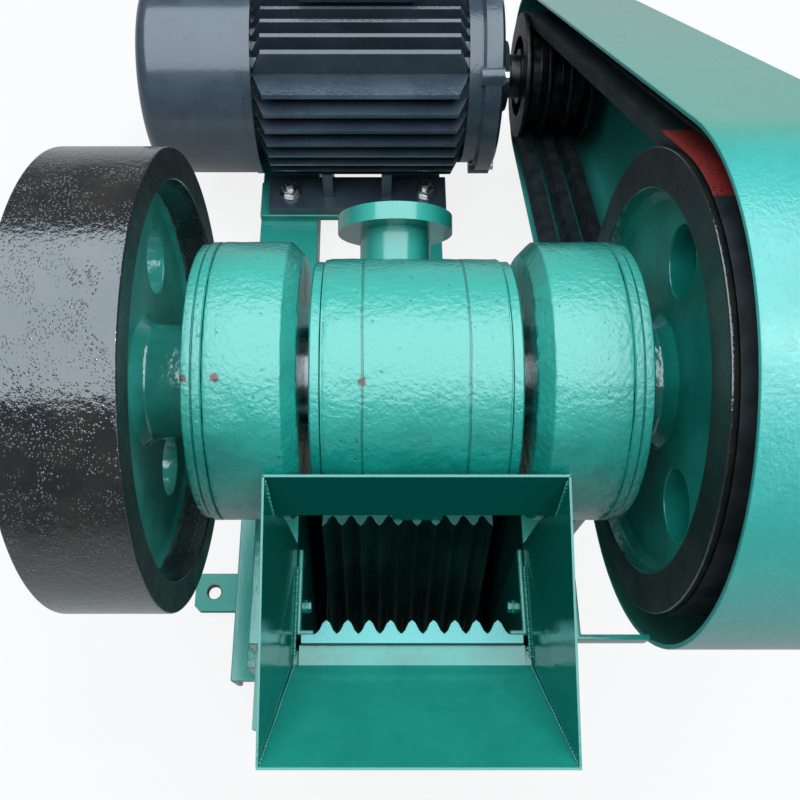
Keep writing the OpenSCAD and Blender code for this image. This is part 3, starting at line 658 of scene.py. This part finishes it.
def weld(name, start, end, radius, finish, seed):
    """A weld bead from start to end: overlapping drops of uneven size, run together."""
    start, end = Vector(start), Vector(end)
    count = max(3, int((end - start).length / (radius * 1.1)))
    bpy.ops.object.select_all(action="DESELECT")
    drops = []
    for i in range(count + 1):
        wander = math.sin(seed + i * 2.3) * math.sin(seed * 1.7 + i * 0.9)
        bpy.ops.mesh.primitive_uv_sphere_add(
            segments=12, ring_count=8, radius=radius * (1.0 + 0.35 * wander),
            location=start.lerp(end, i / count) + Vector((0.0, 0.0, wander * radius * 0.3)))
        drops.append(bpy.context.object)
    for drop in drops:
        drop.select_set(True)
    bpy.ops.object.join()
    bead = bpy.context.object
    bpy.ops.object.transform_apply(location=True, rotation=True, scale=True)
    roughen(bead, 0.004, radius * 0.5)
    bpy.ops.object.shade_smooth()
    return settle(bead, name, finish, "base")


HOPPER_SEAMS = (("front", (0.0605, -0.1405, 0.3275), (0.0695, -0.1870, 0.3752), 0.0005, 1.0),
                ("back", (0.0678, -0.0778, 0.3840), (0.0695, -0.0682, 0.4065), 0.0006, 4.0),
                ("foot", (0.0606, -0.1360, 0.3272), (0.0606, -0.0900, 0.3272), 0.0007, 7.0))
for side, label in ((-1, "left"), (1, "right")):
    for seam, (start_x, *start), (end_x, *end), radius, seed in HOPPER_SEAMS:
        weld(f"hopper_weld_{seam}_{label}", (side * start_x, *start), (side * end_x, *end), radius,
             sheet_paint, seed + side)

# Toggle and adjuster: a steel block that the screw moves, a plate that pushes the jaw, and a
# turned wheel on the screw behind the rear wall. The wheel is painted, the rest is bare.
made_from("toggle_block", steel, "toggle", 0.001)
made_from("toggle_plate", steel, "toggle", 0.001)
# The wheel's up-facing faces are painted paler, as light from above.
wheel_green = enamel("turned_enamel", grit=0.004, depth=0.00006, gloss=0.12, dust=0.15,
                     top=LIT_TOP_TEAL)
made_from("adjusting_wheel", wheel_green, "adjuster", 0.0014, steps=3)

# Pull rod and spring: a turned steel rod that holds the swing jaw back against its toggle, with a
# coil of spring wire and a washer on it behind the rear wall.
made_from("tension_rod", steel, "swing_jaw", 0.0006)
spring_steel = bare_metal("spring_steel", "spring_steel", (0.16, 0.16, 0.17), (0.08, 0.08, 0.09),
                          0.3)
ROD_Z = 0.108
SPRING_START = 0.1225
SPRING_TURNS = 8
SPRING_PITCH = 0.0054
SPRING_R = 0.0125
WIRE_R = 0.0019
WASHER_THICK = 0.003
bpy.ops.object.select_all(action="DESELECT")
bpy.ops.mesh.primitive_circle_add(vertices=12, radius=WIRE_R, location=(SPRING_R, 0.0, 0.0),
                                  rotation=(math.pi / 2, 0.0, 0.0))
coil = bpy.context.object
bpy.ops.object.transform_apply(location=True, rotation=True, scale=True)
alter(coil, "SCREW", axis="Z", screw_offset=SPRING_PITCH, iterations=SPRING_TURNS, steps=40,
      render_steps=40)
into_edit()
bpy.ops.mesh.remove_doubles(threshold=0.000005)
bpy.ops.mesh.select_all(action="DESELECT")
bpy.ops.mesh.select_non_manifold()
bpy.ops.mesh.fill_holes(sides=0)
bpy.ops.mesh.select_all(action="SELECT")
bpy.ops.mesh.normals_make_consistent(inside=False)
bpy.ops.object.mode_set(mode="OBJECT")
coil.rotation_euler = (-math.pi / 2, 0.0, 0.0)
coil.location = (0.0, SPRING_START + WIRE_R, ROD_Z)
pick_piece(coil)
bpy.ops.object.shade_smooth()
settle(coil, "tension_spring_coil", spring_steel, "swing_jaw", "tension_spring")
bpy.ops.mesh.primitive_cylinder_add(vertices=64, radius=0.020, depth=WASHER_THICK,
                                    location=(0.0, SPRING_START - WASHER_THICK / 2.0, ROD_Z),
                                    rotation=(math.pi / 2, 0.0, 0.0))
washer = bpy.context.object
ease(washer, 0.0006)
settle(washer, "tension_spring_washer", spring_steel, "swing_jaw", "tension_spring")

# V-belts: black rubber on cord with a cloth skin. The first one has a worn red mark printed
# across its back where a maker would put a size.
RUBBER_DARK = (0.011, 0.014, 0.016)
RUBBER_GREY = (0.030, 0.040, 0.046)
MARK_RED = (0.36, 0.030, 0.026)
MARK_START = 0.0310
MARK_END = 0.1035
MARK_LOWEST_Z = 0.400
CLOTH_GAP = 0.0008


def rubber(name, marked):
    """Belt rubber with a cloth skin, and where marked with a worn red mark on the belt's back."""
    finish, tree, shader, place = open_finish(name, "belt_rubber")
    base = tint(tree, spread(tree, lumps(tree, place, 0.012, detail=6.0), 0.3, 0.7), RUBBER_DARK,
                RUBBER_GREY)
    if marked:
        apart = tree.nodes.new("ShaderNodeSeparateXYZ")
        tree.links.new(place, apart.inputs[0])
        start = spread(tree, apart.outputs["Y"], MARK_START, MARK_START + 0.0010)
        end = spread(tree, apart.outputs["Y"], MARK_END, MARK_END - 0.0010)
        above = spread(tree, apart.outputs["Z"], MARK_LOWEST_Z, MARK_LOWEST_Z + 0.002)
        worn = spread(tree, lumps(tree, place, 0.0016, detail=5.0), 0.36, 0.47)
        mark = reckon(tree, "MULTIPLY", reckon(tree, "MULTIPLY", start, end),
                      reckon(tree, "MULTIPLY", above, worn))
        flank = reckon(tree, "ADD", facing(tree, "X", 0.5, 0.7), facing(tree, "X", -0.5, -0.7))
        mark = reckon(tree, "MULTIPLY", mark, reckon(tree, "SUBTRACT", 1.0, flank))
        base = tint(tree, mark, base, MARK_RED)
    tree.links.new(base, shader.inputs["Base Color"])
    cloth = tree.nodes.new("ShaderNodeTexVoronoi")
    cloth.inputs["Scale"].default_value = 1.0 / CLOTH_GAP
    tree.links.new(place, cloth.inputs["Vector"])
    tree.links.new(raised(tree, cloth.outputs["Distance"], 0.00006), shader.inputs["Normal"])
    shader.inputs["Roughness"].default_value = 0.55
    return finish


marked_rubber = rubber("belt_rubber_marked", True)
plain_rubber = rubber("belt_rubber", False)
for node, finish in (("inner_belt", marked_rubber), ("middle_belt", plain_rubber),
                     ("outer_belt", plain_rubber)):
    made_from(node, finish, "base", 0.0008)

# Motor pulley: a small iron pulley with three turned grooves, oiled black and keyed to the
# motor's shaft, which is turned steel.
dark_iron = bare_metal("turned_iron", "cast_pulley", (0.10, 0.10, 0.105), (0.045, 0.045, 0.05),
                       0.32)
made_from("motor_pulley", dark_iron, "motor_rotor", 0.0006)
made_from("motor_shaft", steel, "motor_rotor", 0.0008)

# Motor: a fan-cooled motor with a finned iron body, sheet steel fan cover and cast end shield,
# painted blue-grey and bolted to the seat by four feet. The lid of its terminal box is rounded.
MOTOR_BLUE = (0.062, 0.088, 0.118)
MOTOR_DARK = (0.042, 0.062, 0.088)
motor_paint = enamel("motor_enamel", "motor_paint", MOTOR_BLUE, MOTOR_DARK, grit=0.003,
                     depth=0.00008, gloss=0.26, dust=0.12)
motor_cast = enamel("motor_cast_enamel", "motor_paint", MOTOR_BLUE, MOTOR_DARK, grit=0.003,
                    depth=0.0003, gloss=0.28, dust=0.12)
made_from("motor_body", motor_cast, "base", 0.0007, steps=1)
made_from("fan_cover", motor_paint, "base", 0.0025, steps=3)
made_from("drive_end_shield", motor_cast, "base", 0.0012)
made_from("motor_feet", motor_cast, "base", 0.0015)
LID_Z = 0.2765
terminal_box = copy_of("terminal_box")
pick_corners(terminal_box, lambda x, y, z: z > LID_Z)
bpy.ops.mesh.select_mode(type="EDGE")
bpy.ops.mesh.bevel(offset=0.0022, segments=3, affect="EDGES")
bpy.ops.object.mode_set(mode="OBJECT")
ease(terminal_box, 0.0)
settle(terminal_box, "terminal_box_painted", motor_cast, "base", "terminal_box")

# Bolts: zinc-plated hexagon bolts with washers, one through each hole of the motor's feet and
# four each in the end shield and the terminal box's lid. One painted bolt holds each cheek plate.
zinc = bare_metal("zinc_plate", "machined_steel", (0.75, 0.75, 0.74), (0.5, 0.5, 0.5), 0.2)


def hex_bolt(name, place, size, finish, turn, way=(0.0, 0.0, 1.0), stud=0.0):
    """A hexagon of that size across its corners, on a washer, and a stud's end where given."""
    bpy.ops.object.select_all(action="DESELECT")
    bpy.ops.mesh.primitive_cylinder_add(vertices=32, radius=size * 0.62, depth=size * 0.12,
                                        location=(0.0, 0.0, size * 0.06))
    washer = bpy.context.object
    bpy.ops.mesh.primitive_cylinder_add(vertices=6, radius=size * 0.5, depth=size * 0.34,
                                        location=(0.0, 0.0, size * 0.29), rotation=(0.0, 0.0, turn))
    head = bpy.context.object
    into_edit("DESELECT")
    bpy.ops.object.mode_set(mode="OBJECT")
    for face in head.data.polygons:
        face.select = face.normal.z > 0.9
    bpy.ops.object.mode_set(mode="EDIT")
    bpy.ops.mesh.inset(thickness=size * 0.04, depth=size * 0.03)
    bpy.ops.object.mode_set(mode="OBJECT")
    if stud:
        bpy.ops.mesh.primitive_cylinder_add(vertices=32, radius=size * 0.27, depth=stud,
                                            location=(0.0, 0.0, size * 0.45 + stud / 2.0))
    washer.select_set(True)
    head.select_set(True)
    bpy.context.view_layer.objects.active = head
    bpy.ops.object.join()
    bolt = bpy.context.object
    bpy.ops.object.transform_apply(location=True, rotation=True, scale=True)
    ease(bolt, size * 0.03)
    bolt.rotation_euler = Vector(way).to_track_quat("Z", "Y").to_euler()
    bolt.location = place
    return settle(bolt, name, finish, "base")


MOTOR_Y = 0.436
MOTOR_Z = 0.148
SHIELD_X = 0.095
SHIELD_BOLTS_R = 0.084
FOOT_TOP_Z = 0.059
LID_TOP_Z = 0.287
FOOT_HOLES = ((-0.108, 0.365), (0.032, 0.365), (-0.108, 0.507), (0.032, 0.507))
LID_HOLES = ((0.012, 0.434), (-0.082, 0.434), (0.012, 0.514), (-0.082, 0.514))
for number in range(4):
    hex_bolt(f"motor_foot_bolt_{number + 1}", (*FOOT_HOLES[number], FOOT_TOP_Z), 0.018, zinc,
             0.3 + number, stud=0.008)
for number in range(4):
    turn = math.pi / 4 + number * math.pi / 2
    y = MOTOR_Y + SHIELD_BOLTS_R * math.cos(turn)
    z = MOTOR_Z + SHIELD_BOLTS_R * math.sin(turn)
    hex_bolt(f"end_shield_bolt_{number + 1}", (SHIELD_X, y, z), 0.010, zinc, number,
             (1.0, 0.0, 0.0))
    hex_bolt(f"terminal_box_bolt_{number + 1}", (*LID_HOLES[number], LID_TOP_Z), 0.009, zinc,
             number)
for side, label in ((-1, "left"), (1, "right")):
    hex_bolt(f"cheek_bolt_{label}", (side * 0.0578, -0.1055, 0.2980), 0.0065, cast_paint, 0.5,
             (-side, 0.0, 0.0))

# Belt guard: a shell of sheet steel round both pulleys, open towards the machine, its edge
# band welded to the face plate. A strap and an upright hold it.
# Painted light: the guard's enamel is the sheets' green, painted paler as light on its outside.
guard_paint = enamel("guard_enamel", "green_sheet", (0.060, 0.500, 0.440), (0.045, 0.440, 0.385),
                     grit=0.0022, depth=0.0003, skin=0.0012, skin_depth=0.00010, gloss=0.32,
                     dust=0.08, coat=0.9)
# Painted light: faces that look back, towards the overhead panel, take a yellower green.
faces_lit_or_shaded(guard_paint, "Y", 0.25, 0.55, (0.095, 0.440, 0.330))
made_from("belt_guard", guard_paint, "base", 0.0006)
made_from("guard_stays", plate_paint, "base", 0.0006)

# Studio: a white floor that keeps the machine's shadow, a large soft panel overhead and two
# small lamps, with the camera in front and above. A dark patch on the floor between the side
# walls, under the jaws, is a painted shadow.
SHADOW_PATCH_HALF_X = 0.062
SHADOW_PATCH_HALF_Y = 0.065
SHADOW_PATCH_MIDDLE_Y = -0.020
floor_paint, tree, shader, place = open_finish("studio_white")
shader.inputs["Roughness"].default_value = 0.9
glow = tree.nodes.new("ShaderNodeEmission")
seen = tree.nodes.new("ShaderNodeLightPath")
apart = tree.nodes.new("ShaderNodeSeparateXYZ")
tree.links.new(place, apart.inputs[0])
# Painted shadow: the floor loses its white glow in a patch under the jaws.
across = reckon(tree, "ABSOLUTE", apart.outputs["X"])
across = spread(tree, across, SHADOW_PATCH_HALF_X, SHADOW_PATCH_HALF_X + 0.016)
lengthwise = reckon(tree, "ABSOLUTE", reckon(tree, "SUBTRACT", apart.outputs["Y"], SHADOW_PATCH_MIDDLE_Y))
lengthwise = spread(tree, lengthwise, SHADOW_PATCH_HALF_Y, SHADOW_PATCH_HALF_Y + 0.020)
unshadowed_floor = reckon(tree, "MAXIMUM", across, lengthwise)
shown = reckon(tree, "ADD", seen.outputs["Is Camera Ray"],
               reckon(tree, "MULTIPLY", seen.outputs["Is Glossy Ray"], 0.15), clamp=True)
shown = reckon(tree, "ADD", shown, seen.outputs["Is Transmission Ray"], clamp=True)
shown = reckon(tree, "MULTIPLY", shown, unshadowed_floor)
tree.links.new(tint(tree, shown, (0.22, 0.22, 0.22), (0.8, 0.8, 0.8)), shader.inputs["Base Color"])
blend = tree.nodes.new("ShaderNodeMixShader")
output = next(n for n in tree.nodes if n.type == "OUTPUT_MATERIAL")
glow.inputs["Strength"].default_value = 1.0
tree.links.new(reckon(tree, "MULTIPLY", shown, 0.85), blend.inputs["Fac"])
tree.links.new(shader.outputs["BSDF"], blend.inputs[1])
tree.links.new(glow.outputs["Emission"], blend.inputs[2])
tree.links.new(blend.outputs["Shader"], output.inputs["Surface"])
bpy.ops.mesh.primitive_plane_add(size=12.0, location=(0.0, 0.0, 0.0))
floor = bpy.context.object
floor.name = "studio_floor"
floor.data.materials.append(floor_paint)

bpy.ops.object.camera_add(location=(-0.0185, -0.192, 0.777),
                          rotation=(math.radians(24.0), 0.0, 0.0))
camera = bpy.context.object
camera.data.sensor_width = 36.0
camera.data.lens = 38.025
camera.data.shift_x = 0.0296
camera.data.clip_start = 0.01
bpy.context.scene.camera = camera

world = bpy.data.worlds.new("studio")
bpy.context.scene.world = world
world.use_nodes = True
tree = world.node_tree
sky = tree.nodes["Background"]
seen = tree.nodes.new("ShaderNodeLightPath").outputs["Is Camera Ray"]
tree.links.new(tint(tree, seen, (0.92, 0.97, 1.0), (1.0, 1.0, 1.0)), sky.inputs["Color"])
tree.links.new(spread(tree, seen, 0.0, 1.0, 0.13, 0.92), sky.inputs["Strength"])
for name, spot, wide, deep, power, colour in (
        ("ceiling_panel", (0.0, 0.35, 2.5), 3.6, 3.5, 105.0, (0.82, 0.93, 1.0)),
        ("side_panel", (1.7, -1.3, 1.7), 1.2, 1.2, 5.0, (0.85, 0.95, 1.0)),
        ("window_glint", (1.0, -0.3, 2.1), 0.05, 0.05, 2.5, (0.90, 0.97, 1.0))):
    bpy.ops.object.light_add(type="AREA", location=spot)
    lamp = bpy.context.object
    lamp.name = name
    if name != "ceiling_panel":
        away = Vector(spot) - Vector((0.0, 0.0, SHAFT_Z))
        lamp.rotation_euler = away.to_track_quat("Z", "Y").to_euler()
    lamp.data.shape = "RECTANGLE"
    lamp.data.size = wide
    lamp.data.size_y = deep
    lamp.data.energy = power
    lamp.data.color = colour
bpy.context.scene.view_settings.view_transform = "Standard"
